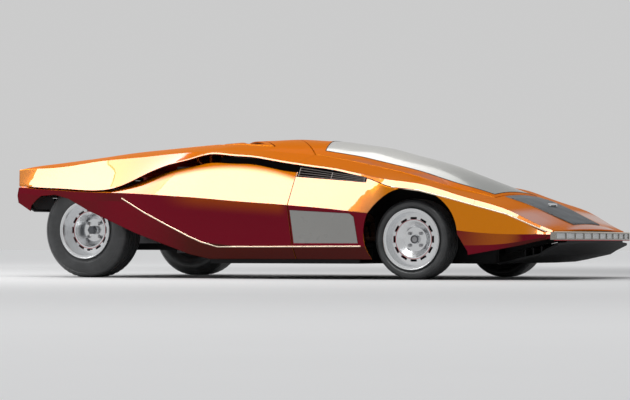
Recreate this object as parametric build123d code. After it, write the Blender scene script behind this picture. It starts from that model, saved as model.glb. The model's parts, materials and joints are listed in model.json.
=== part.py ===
"""A low wedge-shaped two-seat mid-engined coupe of about 1970, as an assembly of its real pieces.

Frame: +X forward to the nose, +Y to the left side, +Z up, in millimetres.  The origin lies on the ground,
under the middle of the car.  The windscreen is the only door: it swings up about a hinge in the roof.
"""
from build123d import *
import os
from math import cos, hypot, pi, sin

# ---------------------------------------------------------------- driving dimensions
FRONT_AXLE_X = 922.0
WHEELBASE = 2220.0
FRONT_OVERHANG = 878.0     # front axle to the lamp strip
REAR_OVERHANG = 502.0      # rear axle to the tail
SKIN = 10.0                # body panel with its folded edge
WIDEST_STEP = 210.0        # longest interval between two sections of the body
SHUT_GAP = 8.0             # gap round each moving panel
SEAM = 5.0                 # gap between the two flank panels
FIT = 0.5                  # gap between pieces that are seated on each other
DRIVER_Y = 262.0           # middle of each seat
SEAT_W = 410.0
WHEEL_R = 150.0            # steering wheel
FLOOR_Z = 92.0             # underside of the floor
FLOOR_T = 12.0

FRONT_TYRE_R = 235.0
FRONT_TYRE_W = 190.0
REAR_TYRE_R = 295.0
REAR_TYRE_W = 226.0
WHEEL_FACE_Y = 790.0       # outer face of every tyre
BEAD_R = 165.0             # tyre seat, 13 inch
RIM_LIP = 14.0             # height of the rim's flange over the tyre seat
RIM_WALL = 9.0
RIM_FLANGE = 9.0           # width of each flange
RIM_SETBACK = 8.0          # rim's flange behind the tyre's outer face
DISC_R = 113.0             # wheel disc inside its ring of slots
SLOT_RING_R = 123.0
SLOT_H = 13.0
SLOT_W = 40.0
SLOTS = 12
CONE_R = 78.0              # the disc sinks in a cone to its middle
PLATE_T = 10.0
HUB_R = 45.0
HUB_LENGTH = 34.0
CAP_R = 28.0
CAP_H = 14.0
STUDS = 4
STUD_CIRCLE_R = 49.0
FRONT_DISH = 40.0          # depth of the wheel disc behind the rim's flange
REAR_DISH = 64.0
FRONT_SINK = 24.0          # depth of the disc's middle behind its edge
REAR_SINK = 50.0
SPINDLE_R = 17.0
RUNNING = 0.06             # radial play of a spindle in its hub
KINGPIN_Y = 640.0
PIN_SPAN = 100.0           # kingpin eyes above and below the wheel's centre
PIN_R = 8.0
EYE_R = 17.0
EYE_H = 24.0
FRONT_WELL_Y = 445.0       # inner wall of the front wheel wells

NOSE_BOW_R = 5400.0        # the nose is bowed in plan
STRIP_DEPTH = 32.0         # lamp strip, front to back
STRIP_LOW_Z = 232.0
STRIP_TOP_Z = 276.0
STRIP_HALF_Y = 642.0
STRIP_WALL = 6.0           # frame round the lamps
STRIP_END = 12.0           # from the strip's end to the first lamp
LAMP_GAP = 6.0
LAMPS = 10
LOUVRES = 4                # bars of each slit window
LOUVRE_R = 3.0
SLIT_REAR_H = 76.0         # height of the slit window at its ends
SLIT_FRONT_H = 38.0

HATCH_FRONT_X = 1296.0     # foot of the opening windscreen
HATCH_CORNER_X = 165.0     # rear corners of the hatch
HATCH_APEX_X = -215.0      # rear point of the hatch on the centre line
HATCH_FRONT_Y = 416.0
HATCH_REAR_Y = 498.0
GLASS_FRONT_X = 1262.0
GLASS_REAR_X = 190.0
GLASS_APEX_X = 60.0
GLASS_FRONT_Y = 338.0
GLASS_REAR_Y = 410.0
GLASS_T = 6.0
MAT_T = 4.0                # rubber mat on the nose, where one steps in

COVER_CORNER_X = -130.0    # engine cover: where its front edges and sides would meet
COVER_FRONT_Y = 470.0
COVER_BLUNT_Y = 452.0      # its corners are cut off here
COVER_BLUNT_SHIFT = 1.4    # how far the cut corners move when the outline grows by 1
COVER_GAP = 10.0
COVER_NOTCH_X = -510.0     # its front edge on the centre line
COVER_TAIL_X = -1660.0     # its rear end
COVER_TAIL_Y = 130.0
COVER_RIM = 42.0           # width of its border
CHEVRONS = 7               # nested V-shaped slats
CHEVRON_FILL = 0.56        # share of the pitch that a slat covers
SLAT_FOLD = 26.0           # depth of the fold along each slat's rear edge
SLAT_FOLD_T = 9.0
COVER_HINGE_Y = -500.0     # swan-neck hinge under the deck, right of the cover
COVER_HINGE_Z = 776.0
COVER_HINGE_STATIONS = (-480.0, -650.0)
HINGE_PIN_R = 5.0
NECK_R = 7.0
NECK_DROP = 120.0
LUG_DROP = 60.0            # how far the hinge eyes hang under the deck

RAIL_Y = 330.0             # rear frame: inner face of its ladders
RAIL_W = 42.0
RAIL_Z = 170.0
TOW_EYE_X, TOW_EYE_Y, TOW_EYE_Z = -1674.0, 100.0, 190.0
TOW_EYE_R = 12.0
TOW_EYE_T = 14.0

# Every x below is a station of the body.  These four lie at the tail, the axles and the nose, and along()
# places the others between them, so that cabin, nose and tail follow the wheelbase and the overhangs.
TAIL, REAR, FRONT, NOSE = -1800.0, -1298.0, 922.0, 1800.0
BEHIND, AHEAD = TAIL - 100, NOSE + 100     # cuts run out behind the tail and ahead of the nose
ABOVE, ASIDE = 900.0, 1000.0               # and over the roof and past the sides

# Upper skin, one row for each cross-section.
# x | crown z on the centre line | crease y, z | edge y, z | lip y, z, the lower side of the edge's chamfer
UPPER = [
    (-1800, 735, 750, 674, 786, 583, 790, 572),
    (-1500, 770, 724, 688, 819, 565, 826, 556),
    (-1200, 803, 697, 726, 853, 547, 861, 538),
    (-1020, 817, 686, 738, 844, 566, 852, 557),
    (-860, 829, 676, 750, 803, 636, 812, 628),
    (-700, 840, 664, 763, 776, 696, 786, 690),
    (-420, 856, 632, 778, 745, 761, 752, 752),
    (-150, 862, 574, 774, 737, 740, 744, 731),
    (150, 842, 514, 746, 737, 691, 744, 682),
    (420, 802, 478, 703, 744, 653, 752, 643),
    (640, 745, 458, 655, 768, 609, 780, 596),
    (834, 692, 446, 606, 838, 577, 864, 540),
    (1000, 630, 434, 555, 812, 553, 837, 518),
    (1176, 560, 428, 512, 770, 500, 791, 470),
    (1300, 505, 424, 480, 738, 462, 757, 434),
    (1484, 432, 420, 418, 690, 404, 706, 381),
    (1700, 333, 415, 312, 619, 298, 631, 281),
    (1790, 274, 414, 268, 596, 256, 606, 243),
]

# Flank, one side.  x | rolled-in edge y, z | shoulder y, z | belt y, z | lower crease y, z | sill y, z
FLANK = [
    (-1800, 752, 592, 768, 566, 789, 562, 783, 522, 690, 200),
    (-1500, 786, 578, 803, 549, 825, 543, 813, 502, 720, 200),
    (-1200, 820, 560, 837, 533, 860, 525, 846, 472, 755, 160),
    (-1020, 806, 538, 842, 544, 879, 521, 862, 470, 780, 120),
    (-860, 730, 588, 792, 598, 897, 514, 880, 423, 800, 117),
    (-700, 706, 641, 772, 652, 907, 504, 886, 346, 818, 117),
    (-420, 672, 686, 748, 700, 922, 485, 893, 224, 836, 117),
    (-150, 668, 674, 748, 688, 930, 462, 900, 191, 850, 117),
    (150, 684, 622, 768, 636, 925, 440, 897, 191, 853, 117),
    (420, 728, 622, 757, 634, 914, 417, 886, 192, 848, 117),
    (640, 752, 580, 783, 591, 897, 392, 870, 193, 838, 117),
    (834, 836, 526, 863, 535, 880, 370, 855, 196, 826, 117),
    (1000, 809, 504, 836, 513, 850, 330, 830, 198, 806, 120),
    (1176, 764, 456, 790, 465, 800, 292, 792, 200, 776, 130),
    (1300, 730, 420, 756, 429, 768, 276, 764, 200, 756, 150),
    (1484, 680, 368, 705, 376, 716, 264, 714, 210, 706, 184),
    (1700, 606, 268, 630, 276, 645, 262, 640, 245, 630, 231),
]
FLANK_SPLIT_LOW = (205.0, 210.0)    # seam between rear and front flank panels, x and z
FLANK_SPLIT_TOP = (170.0, 660.0)
SLIT = [(178, 606), (640, 568), (640, 660), (178, 720)]                 # opening over the flank, x and z
PANE = [(199, 408), (581, 386), (607, 366), (624, 210), (215, 211)]     # lower side pane, x and z
FRONT_ARCH = (937.0, 255.0, 277.0)  # x, z and radius of the front wheel arch
# Lower edge of the rear flank, x and z, from the sill up over the rear wheel to the tail.
REAR_EDGE = [(-377, 117), (-521, 147), (-616, 180), (-913, 278), (-1243, 412), (-1390, 488), (-1491, 514),
             (-1604, 509), (-1651, 483), (-1694, 453), (-1712, 416)]
# Outline of the tail from the side, x and z.
TAIL_EDGE = [(-1800, 674), (-1775, 572), (-1796, 510), (-1796, 468), (-1712, 416)]


# ---------------------------------------------------------------- helpers
def along(x):
    """Place on the car of a station of the body."""
    rear_axle = FRONT_AXLE_X - WHEELBASE
    if x > FRONT:
        return FRONT_AXLE_X + (x - FRONT) / (NOSE - FRONT) * FRONT_OVERHANG
    if x < REAR:
        return rear_axle - (REAR - x) / (REAR - TAIL) * REAR_OVERHANG
    return rear_axle + (x - REAR) / (FRONT - REAR) * WHEELBASE


def box(x0, x1, y0, y1, z0, z1):
    """Block between two stations, two widths and two heights."""
    x0, x1 = along(x0), along(x1)
    return Pos((x0 + x1) / 2, (y0 + y1) / 2, (z0 + z1) / 2) * Box(abs(x1 - x0), abs(y1 - y0), abs(z1 - z0))


def rod(start, end, radius):
    """Round bar from one point to another."""
    a, b = (Vector(along(x), y, z) for x, y, z in (start, end))
    return extrude(Plane(origin=a, z_dir=b - a) * Circle(radius), amount=(b - a).length)


def ball(x, y, z, radius):
    return Pos(along(x), y, z) * Sphere(radius)


def prism_z(points, z0, z1):
    """Plan outline in x, y pulled up from z0 to z1."""
    plan = Polyline(*((along(x), y) for x, y in points), close=True)
    return Plane(origin=(0, 0, z0)) * extrude(make_face(plan), amount=z1 - z0)


def prism_y(points, y0, y1):
    """Side outline in x, z pulled from y0 to y1."""
    side_view = Plane(origin=(0, y1, 0), x_dir=(1, 0, 0), z_dir=(0, -1, 0))
    outline = Polyline(*((along(x), z) for x, z in points), close=True)
    return side_view * extrude(make_face(outline), amount=y1 - y0)


def ring_y(profile, x, z, side):
    """Ring about a wheel's axle.  The profile holds distance from the car's middle and radius."""
    face = Face(Wire.make_polygon([Vector(0, side * y, r) for y, r in profile], close=True))
    return Pos(along(x), 0, z) * revolve(face, axis=Axis((0, 0, 0), (0, 1, 0)))


def mirrored(shape, side):
    """The shape itself on the right (-Y), its mirror image on the left."""
    return shape if side < 0 else shape.mirror(Plane.XZ)


def pair(shape):
    """The same piece on both sides of the car."""
    return [shape, shape.mirror(Plane.XZ)]


def offset_inside(points, thickness):
    """An open outline moved to its right-hand side by one wall thickness, with mitred corners."""
    inner = []
    for i, (y, z) in enumerate(points):
        normals = []
        for a, b in ((i - 1, i), (i, i + 1)):
            if 0 <= a and b < len(points):
                dy, dz = points[b][0] - points[a][0], points[b][1] - points[a][1]
                run = hypot(dy, dz)
                normals.append((dz / run, -dy / run))
        ny = sum(n[0] for n in normals) / len(normals)
        nz = sum(n[1] for n in normals) / len(normals)
        size = ny * ny + nz * nz
        inner.append((y + thickness * ny / size, z + thickness * nz / size))
    return inner


def bow(x, z0, z1):
    """All that lies behind the nose's bowed front, moved back to end at x on the centre line."""
    block = box(0, x + 100, -1000, 1000, z0, z1)
    standing = (Align.CENTER, Align.CENTER, Align.MIN)
    return block & Pos(along(x) - NOSE_BOW_R, 0, z0) * Cylinder(NOSE_BOW_R, z1 - z0, align=standing)


# ---------------------------------------------------------------- body skins
def filled(rows):
    """The same rows with a mean row put into each wide interval, which keeps the loft from swinging out."""
    out = [rows[0]]
    for row in rows[1:]:
        if row[0] - out[-1][0] > WIDEST_STEP:
            out.append(tuple((a + b) / 2 for a, b in zip(out[-1], row)))
        out.append(row)
    return out


def upper_section(row, thickness):
    x, crown = row[:2]
    top = [(0.0, crown), *((row[i], row[i + 1]) for i in (2, 4, 6))]
    low = offset_inside([(-60.0, crown), *top], thickness)[1:]

    def at(point, side=1):
        return Vector(along(x), side * point[0], point[1])

    left = [at(point, -1) for point in top[:0:-1]]
    right = [at(point) for point in top[1:]]
    left_low = [at(point, -1) for point in low[1:]]
    right_low = [at(point) for point in low[:0:-1]]
    ring = [left, right, right_low, left_low]
    edges = [Edge.make_line(a, b) for side in ring for a, b in zip(side, side[1:])]
    edges += [Edge.make_line(right[-1], right_low[0]), Edge.make_line(left_low[-1], left[0]),
              Edge.make_three_point_arc(left[-1], at(top[0]), right[0]),
              Edge.make_three_point_arc(right_low[-1], at(low[0]), left_low[0])]
    return Face(Wire(edges))


def upper_skin(thickness=SKIN):
    return loft([upper_section(row, thickness) for row in filled(UPPER)])


def flank_section(row):
    """Right-hand flank: rolled-in edge, shoulder, belt, lower crease and sill."""
    x = row[0]
    outer = [(row[i], row[i + 1]) for i in range(1, len(row), 2)]
    ring = outer + offset_inside(outer, SKIN)[::-1]
    return Face(Wire.make_polygon([Vector(along(x), -y, z) for y, z in ring], close=True))


def hatch_outline(grow=0.0):
    return [(HATCH_FRONT_X + grow, HATCH_FRONT_Y + grow), (HATCH_CORNER_X, HATCH_REAR_Y + grow),
            (HATCH_APEX_X - grow, 0), (HATCH_CORNER_X, -HATCH_REAR_Y - grow),
            (HATCH_FRONT_X + grow, -HATCH_FRONT_Y - grow)]


def glass_outline(grow=0.0):
    return [(GLASS_FRONT_X + grow, GLASS_FRONT_Y + grow), (GLASS_REAR_X, GLASS_REAR_Y + grow),
            (GLASS_APEX_X - grow, 0), (GLASS_REAR_X, -GLASS_REAR_Y - grow),
            (GLASS_FRONT_X + grow, -GLASS_FRONT_Y - grow)]


def cover_outline(grow=0.0):
    """Arrow-shaped plan of the engine cover, notched in front, with blunt front corners."""
    front_slope = (COVER_CORNER_X - COVER_NOTCH_X) / COVER_FRONT_Y
    side_slope = (COVER_CORNER_X - COVER_TAIL_X) / (COVER_FRONT_Y - COVER_TAIL_Y)
    blunt = COVER_BLUNT_Y + COVER_BLUNT_SHIFT * grow
    front_x = COVER_NOTCH_X + front_slope * blunt + grow
    side_x = COVER_CORNER_X - side_slope * (COVER_FRONT_Y + grow - blunt)
    half = [(front_x, blunt), (side_x, blunt), (COVER_TAIL_X - grow, COVER_TAIL_Y + grow)]
    return [(COVER_NOTCH_X + grow, 0), *((x, -y) for x, y in half), *half[::-1]]


def chevron(front, back):
    """V-shaped strip across the cover, its point to the rear; front and back are set-backs along the car."""
    slope = (COVER_CORNER_X - COVER_NOTCH_X) / COVER_FRONT_Y
    reach = COVER_FRONT_Y
    lead = COVER_NOTCH_X - front
    trail = COVER_NOTCH_X - back
    return [(lead + slope * reach, reach), (lead, 0), (lead + slope * reach, -reach),
            (trail + slope * reach, -reach), (trail, 0), (trail + slope * reach, reach)]


def tail_cut():
    """What lies behind the tail's side outline."""
    return prism_y([(BEHIND, ABOVE), (TAIL, ABOVE), *TAIL_EDGE, (TAIL_EDGE[-1][0], 300), (BEHIND, 300)],
                   -ASIDE, ASIDE)


def rear_edge_cut(y0, y1):
    """What lies under the rear flank's lower edge."""
    return prism_y([(REAR_EDGE[0][0], 0), *REAR_EDGE, (BEHIND, REAR_EDGE[-1][1]), (BEHIND, 0)], y0, y1)


def front_arch_cut():
    x, z, radius = FRONT_ARCH
    drum = Pos(along(x), -800, z) * Rot(90, 0, 0) * Cylinder(radius, 500)
    flare = prism_y([(x, 0), (x, z), (x + radius - 6, z + 20), (1268, 166), (1279, 0)], -1000, -600)
    return drum + flare


# ---------------------------------------------------------------- body pieces
def body_uppers():
    """The fixed upper skin in its panels, the hatch frame and the engine cover."""
    skin = upper_skin()
    low, high = 100, 1000
    opened = skin - prism_z(hatch_outline(SHUT_GAP), low, high)
    opened -= prism_z(cover_outline(COVER_GAP), low, high)
    opened -= tail_cut()
    nose_x = HATCH_FRONT_X + SHUT_GAP
    nose = opened & bow(NOSE - STRIP_DEPTH - FIT, low, high)
    nose &= box(nose_x, AHEAD, -ASIDE, ASIDE, low, high)
    side_x = HATCH_CORNER_X
    cheek = opened & box(side_x + FIT, nose_x - FIT, -ASIDE, -300, low, high)
    deck = (opened & box(BEHIND, side_x, -ASIDE, ASIDE, low, high)) + hinge_lugs()
    return {
        "nose_panel": nose,
        "cheeks": pair(cheek),
        "rear_deck": deck,
        "hatch_frame": (skin & prism_z(hatch_outline(), low, high)) - prism_z(glass_outline(FIT), low, high),
        "engine_cover": engine_cover(skin),
    }


def engine_cover(skin):
    """Bordered cover with nested V-shaped slats, a fold down along each one's rear edge, and its hinge arms."""
    low, high = 100, 1000
    border = prism_z(cover_outline(), low, high) - prism_z(cover_outline(-COVER_RIM), low, high)
    inside = prism_z(cover_outline(-COVER_RIM / 2), low, high)
    pitch = (COVER_NOTCH_X - COVER_TAIL_X) / CHEVRONS
    ends = [(i + CHEVRON_FILL) * pitch for i in range(1, CHEVRONS)]
    slats = [prism_z(chevron(end - pitch * CHEVRON_FILL, end), low, high) & inside for end in ends]
    folds = [prism_z(chevron(end - SLAT_FOLD_T, end), low, high) & inside for end in ends]
    cover = skin & (border + slats)
    deep = Pos(0, 0, -SKIN / 2) * upper_skin(SLAT_FOLD)
    for fold in folds:
        cover += deep & fold
    for x in COVER_HINGE_STATIONS:
        cover += swan_neck(x)
    return cover


def cover_side_y(x):
    """Width of the engine cover at a station, from its middle to its side."""
    share = (x - COVER_TAIL_X) / (COVER_CORNER_X - COVER_TAIL_X)
    return COVER_TAIL_Y + share * (COVER_FRONT_Y - COVER_TAIL_Y)


def swan_neck(x):
    """Hinge arm that drops from the cover's border, passes under the deck's edge and ends in a pin."""
    y, z = COVER_HINGE_Y, COVER_HINGE_Z
    root_y = COVER_RIM / 2 - cover_side_y(x)
    path = [(x, root_y, z + 44), (x, root_y, z - NECK_DROP), (x, y, z - NECK_DROP / 2), (x, y, z)]
    arm = rod(path[0], path[1], NECK_R)
    for start, end in zip(path[1:], path[2:]):
        arm += ball(*start, NECK_R + 2) + rod(start, end, NECK_R)
    return arm + rod((x - 22, y, z), (x + 22, y, z), HINGE_PIN_R)


def hinge_lugs():
    """Two pairs of eyes under the deck that hold the pins of the cover's swan necks."""
    y, z = COVER_HINGE_Y, COVER_HINGE_Z
    lugs = []
    for x in COVER_HINGE_STATIONS:
        for mid in (x - 16, x + 16):
            lug = box(mid - 4, mid + 4, y - 12, y + 12, z - 12, z + 60)
            lugs.append(lug - rod((mid - 9, y, z), (mid + 9, y, z), HINGE_PIN_R + RUNNING))
    hanging = Pos(0, 0, -SKIN / 2) * upper_skin(LUG_DROP)
    return [lug & hanging for lug in lugs]


def windscreen():
    return upper_skin(GLASS_T) & prism_z(glass_outline(), 100, 1000)


def flank_pieces():
    flank = loft([flank_section(row) for row in filled(FLANK)])
    flank -= rear_edge_cut(-1000, -600)
    flank -= tail_cut()
    flank -= front_arch_cut()
    flank -= prism_y(PANE, -1000, -800)
    flank -= prism_y(SLIT, -1000, -600)
    (x0, z0), (x1, z1) = FLANK_SPLIT_LOW, FLANK_SPLIT_TOP
    lean = (x1 - x0) / (z1 - z0)

    def seam(shift):
        return [(x0 - lean * z0 + shift, 0), (x0 + lean * (ABOVE - z0) + shift, ABOVE)]

    rear = flank & prism_y([*seam(-SEAM / 2), (BEHIND, ABOVE), (BEHIND, 0)], -ASIDE, -500)
    front = flank & prism_y([*seam(SEAM / 2), (AHEAD, ABOVE), (AHEAD, 0)], -ASIDE, -500)
    return rear, front


def side_pane():
    """Flush lower pane, seated inside its opening in the flank."""
    flank = loft([flank_section(row) for row in filled(FLANK)])
    cx = sum(p[0] for p in PANE) / len(PANE)
    cz = sum(p[1] for p in PANE) / len(PANE)
    inner = [(cx + (x - cx) * 0.99, cz + (z - cz) * 0.985) for x, z in PANE]
    return flank & prism_y(inner, -1000, -800)


def slit_point(along_slit, share):
    """Point in the slit window: from its rear to its front end, and from its lower to its upper edge."""
    x = SLIT[0][0] + 10 + along_slit * (SLIT[1][0] - SLIT[0][0] - 20)
    low = SLIT[0][1] + along_slit * (SLIT[1][1] - SLIT[0][1])
    height = SLIT_REAR_H + along_slit * (SLIT_FRONT_H - SLIT_REAR_H)
    y = 788 + 8 * along_slit - height * share * 0.7
    return x, -y, low + height * share


def slit_louvre():
    """Slatted slit window over the flank, ahead of the air scoop."""
    louvre = None
    for level in range(LOUVRES):
        share = 0.1 + 0.2 * level
        slat = rod(slit_point(0, share), slit_point(1, share), LOUVRE_R)
        louvre = slat if louvre is None else louvre + slat
    posts = [rod(slit_point(end, 0.05), slit_point(end, 0.72), LOUVRE_R) for end in (0.01, 0.5, 0.99)]
    return louvre + posts


def nose_mat(skin):
    plan = [(1352, 285), (1716, 225), (1716, -225), (1352, -285)]
    return (Pos(0, 0, MAT_T + FIT) * skin) & prism_z(plan, 100, 1000) & bow(1745, 100, 1000)


# ---------------------------------------------------------------- front end
def light_strip():
    """Bowed lamp housing across the nose, with a pocket for each lamp."""
    housing = bow(NOSE, STRIP_LOW_Z, STRIP_TOP_Z) - bow(NOSE - STRIP_DEPTH, STRIP_LOW_Z - 1, STRIP_TOP_Z + 1)
    housing &= box(NOSE - 200, AHEAD, -STRIP_HALF_Y, STRIP_HALF_Y, 0, ABOVE)
    low, high = STRIP_LOW_Z + STRIP_WALL, STRIP_TOP_Z - STRIP_WALL
    for y, half in lamp_places():
        housing -= box(pocket_floor(y), AHEAD, y - half, y + half, low, high)
    return housing


def pocket_floor(y):
    """Station of the floor of the lamp pocket at a place across the nose."""
    return NOSE - STRIP_DEPTH * 0.6 - y * y / (2 * NOSE_BOW_R)


def lamp_places():
    reach = STRIP_HALF_Y - STRIP_END
    pitch = 2 * reach / LAMPS
    return [(pitch * (i + 0.5) - reach, (pitch - LAMP_GAP) / 2) for i in range(LAMPS)]


def headlamps():
    face = bow(NOSE - STRIP_WALL, STRIP_LOW_Z, STRIP_TOP_Z)
    low, high = STRIP_LOW_Z + STRIP_WALL + FIT, STRIP_TOP_Z - STRIP_WALL - FIT
    lamps = []
    for y, half in lamp_places():
        lamp = box(pocket_floor(y) + FIT, AHEAD, y - half + FIT, y + half - FIT, low, high)
        lamps.append(lamp & face)
    return Compound(children=[s for lamp in lamps for s in lamp.solids()])


def chin():
    """Dark underside of the nose with its slatted air inlet."""
    line = [(1788, 230), (1788, 214), (1691, 168), (1652, 144), (1435, 98), (1334, 92), (1334, 102),
            (1433, 108), (1646, 153), (1684, 177), (1770, 218), (1770, 230)]
    pan = prism_y(line, -600, 600) & bow(NOSE - 8, 0, 400)
    plan = [(1300, 480), (1500, 600), (1800, 600), (1800, -600), (1500, -600), (1300, -480)]
    pan &= prism_z(plan, 0, 400)
    for x in (1540, 1590, 1640):
        floor_z = 104 + (x - 1435) * 0.2
        pan += box(x, x + 8, -560, 560, floor_z, floor_z + 50)
    return pan


# ---------------------------------------------------------------- wheels
def tyre(x, z, radius, width, side):
    out, mid, inn = WHEEL_FACE_Y, WHEEL_FACE_Y - width / 2, WHEEL_FACE_Y - width
    seat = BEAD_R + FIT / 5
    wall = radius - seat
    bead = RIM_SETBACK + RIM_FLANGE + FIT
    over = BEAD_R + RIM_LIP + 2
    profile = [(out - bead, seat), (out - bead, over), (out, seat + wall * 0.5), (out - 20, radius),
               (inn + 20, radius), (inn, seat + wall * 0.5), (inn + bead, over), (inn + bead, seat)]
    return ring_y(profile, x, z, side)


def rim(x, z, width, dish, sink, side):
    """Deep-dished rim with a ring of slots round a disc that sinks in a cone to its hub."""
    out = WHEEL_FACE_Y - RIM_SETBACK
    inn = WHEEL_FACE_Y - width + RIM_SETBACK
    well = BEAD_R - RIM_WALL
    disc = out - dish
    hub = disc - sink
    hub_r = SPINDLE_R + RUNNING
    barrel = ring_y([(out, BEAD_R + RIM_LIP), (out - RIM_FLANGE + 2, BEAD_R + RIM_LIP), (out - RIM_FLANGE, BEAD_R),
                     (inn + RIM_FLANGE, BEAD_R), (inn + RIM_FLANGE - 2, BEAD_R + RIM_LIP),
                     (inn, BEAD_R + RIM_LIP), (inn, well), (out, well + 4)], x, z, side)
    plate_r = BEAD_R - RIM_WALL / 3
    plate = ring_y([(disc, plate_r), (disc - PLATE_T, plate_r), (disc - PLATE_T, DISC_R), (hub - PLATE_T, CONE_R),
                    (hub - PLATE_T, HUB_R), (hub - HUB_LENGTH, HUB_R), (hub - HUB_LENGTH, hub_r),
                    (hub + CAP_H, hub_r), (hub + CAP_H, CAP_R - 4), (hub, CAP_R), (hub, CONE_R - 8),
                    (disc + 4, DISC_R - 8), (disc + 4, DISC_R)], x, z, side)
    cuts = []
    for i in range(SLOTS):
        slot = Pos(0, side * disc, SLOT_RING_R) * Box(SLOT_W, PLATE_T * 4, SLOT_H)
        cuts.append(Pos(along(x), 0, z) * (Rot(0, i * 360 / SLOTS, 0) * slot))
    for i in range(STUDS):
        hole = Pos(0, side * hub, STUD_CIRCLE_R) * Rot(90, 0, 0) * Cylinder(7, PLATE_T * 4)
        cuts.append(Pos(along(x), 0, z) * (Rot(0, 45 + i * 360 / STUDS, 0) * hole))
    return (barrel + plate) - cuts


def knuckle(side):
    """Upright that turns about its ball joints and carries the front hub on a spindle."""
    z = FRONT_TYRE_R
    x = FRONT
    hub = WHEEL_FACE_Y - RIM_SETBACK - FRONT_DISH - FRONT_SINK
    reach = PIN_SPAN - EYE_H / 2 - FIT
    post = box(x - 24, x + 24, -KINGPIN_Y - 16, -KINGPIN_Y + 18, z - reach, z + reach)
    pin_end = PIN_SPAN + EYE_H / 2 + 3
    post += rod((x, -KINGPIN_Y, z - pin_end), (x, -KINGPIN_Y, z + pin_end), PIN_R)
    post += rod((x, -KINGPIN_Y, z), (x, -hub - CAP_H / 2, z), SPINDLE_R)
    post += rod((x, -KINGPIN_Y, z), (x, -hub + HUB_LENGTH + 6, z), 34)
    post += rod((x, -KINGPIN_Y, z), (x - 118, -KINGPIN_Y + 24, z), 9)
    return mirrored(post, side)


def front_suspension():
    """Wishbones from the front frame to the ball joints, both sides."""
    arms = None
    x = FRONT
    for side in (-1, 1):
        for level in (-1, 1):
            z = FRONT_TYRE_R + level * PIN_SPAN
            tip = (x, side * KINGPIN_Y, z)
            arm = rod((x, side * KINGPIN_Y, z - EYE_H / 2), (x, side * KINGPIN_Y, z + EYE_H / 2), EYE_R)
            for dx in (-110, 110):
                arm += rod((x + dx, side * (FRONT_WELL_Y + 10), z), tip, 11)
                foot = [side * (FRONT_WELL_Y + reach) for reach in (FIT, 14)]
                arm += box(x + dx - 22, x + dx + 22, *foot, z - 20, z + 20)
            bore = rod((x, side * KINGPIN_Y, z - EYE_H), (x, side * KINGPIN_Y, z + EYE_H), PIN_R + RUNNING)
            arm -= bore
            arms = arm if arms is None else arms + arm
    return arms


def rear_suspension():
    """Rear uprights with their spindles, and the links that hold them."""
    arms = None
    x, z = REAR, REAR_TYRE_R
    hub = WHEEL_FACE_Y - RIM_SETBACK - REAR_DISH - REAR_SINK
    for side in (-1, 1):
        post = box(x - 30, x + 30, side * 560, side * 600, z - 120, z + 120)
        post += rod((x, side * 600, z), (x, side * (hub + CAP_H / 2), z), SPINDLE_R)
        post += rod((x, side * 598, z), (x, side * (hub - HUB_LENGTH - 6), z), 44)
        for dx in (-120, 120):
            post += rod((x + dx, side * 380, z - 100), (x, side * 575, z - 100), 11)
        post += rod((x, side * 374, z + 100), (x, side * 575, z + 100), 11)
        arms = post if arms is None else arms + post
    return arms


# ---------------------------------------------------------------- structure under the skin
def floor_pan():
    top = FLOOR_Z + FLOOR_T
    plan = [(-440, 598), (590, 598), (640, FRONT_WELL_Y), (1330, FRONT_WELL_Y - 10),
            (1330, -FRONT_WELL_Y + 10), (640, -FRONT_WELL_Y), (590, -598), (-440, -598)]
    pan = prism_z(plan, FLOOR_Z, top)
    tunnel = box(60, 900, -48, 48, top, top + 90) - box(50, 910, -40, 40, top - 1, top + 82)
    return pan + tunnel


def sills():
    z = FLOOR_Z
    beam = box(-440, 600, -800, -602, z, z + 96) - box(-450, 610, -790, -612, z + 10, z + 86)
    beam -= prism_y([(-460, 60), (-460, 210), (-440, 210), (-380, 60)], -900, -500)
    return pair(beam)


def cabin_sides():
    """Inner walls of the cabin and footwell, open at the side panes."""
    base = FLOOR_Z + FLOOR_T + FIT
    plan = [(-440, -590), (586, -590), (632, -FRONT_WELL_Y + 2), (1316, -FRONT_WELL_Y + 14),
            (1316, -FRONT_WELL_Y + 20), (626, -FRONT_WELL_Y + 10), (580, -582), (-440, -582)]
    wall = prism_z(plan, base, 760)
    roof = [(-440, 740), (165, 700), (640, 624), (1000, 528), (1316, 448), (1316, 900), (-440, 900)]
    wall -= prism_y(roof, -700, -300)
    wall -= prism_y(PANE, -700, -560)
    return pair(wall)


def bulkheads():
    """Wall ahead of the footwell, and the sloping wall between cabin and engine."""
    base = FLOOR_Z + FLOOR_T + FIT
    rear = prism_y([(20, base), (34, base), (-394, 760), (-408, 760)], -574, 574)
    return [rear, box(1318, 1328, -FRONT_WELL_Y + 16, FRONT_WELL_Y - 16, base, 440)]


def front_frame():
    """Two rails that carry the nose ahead of the front bulkhead."""
    outline = [(1330, 150), (1330, 200), (1560, 242), (1748, 258), (1748, 240), (1560, 200)]
    return prism_y(outline, -340, -300) + prism_y(outline, 300, 340)


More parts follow.
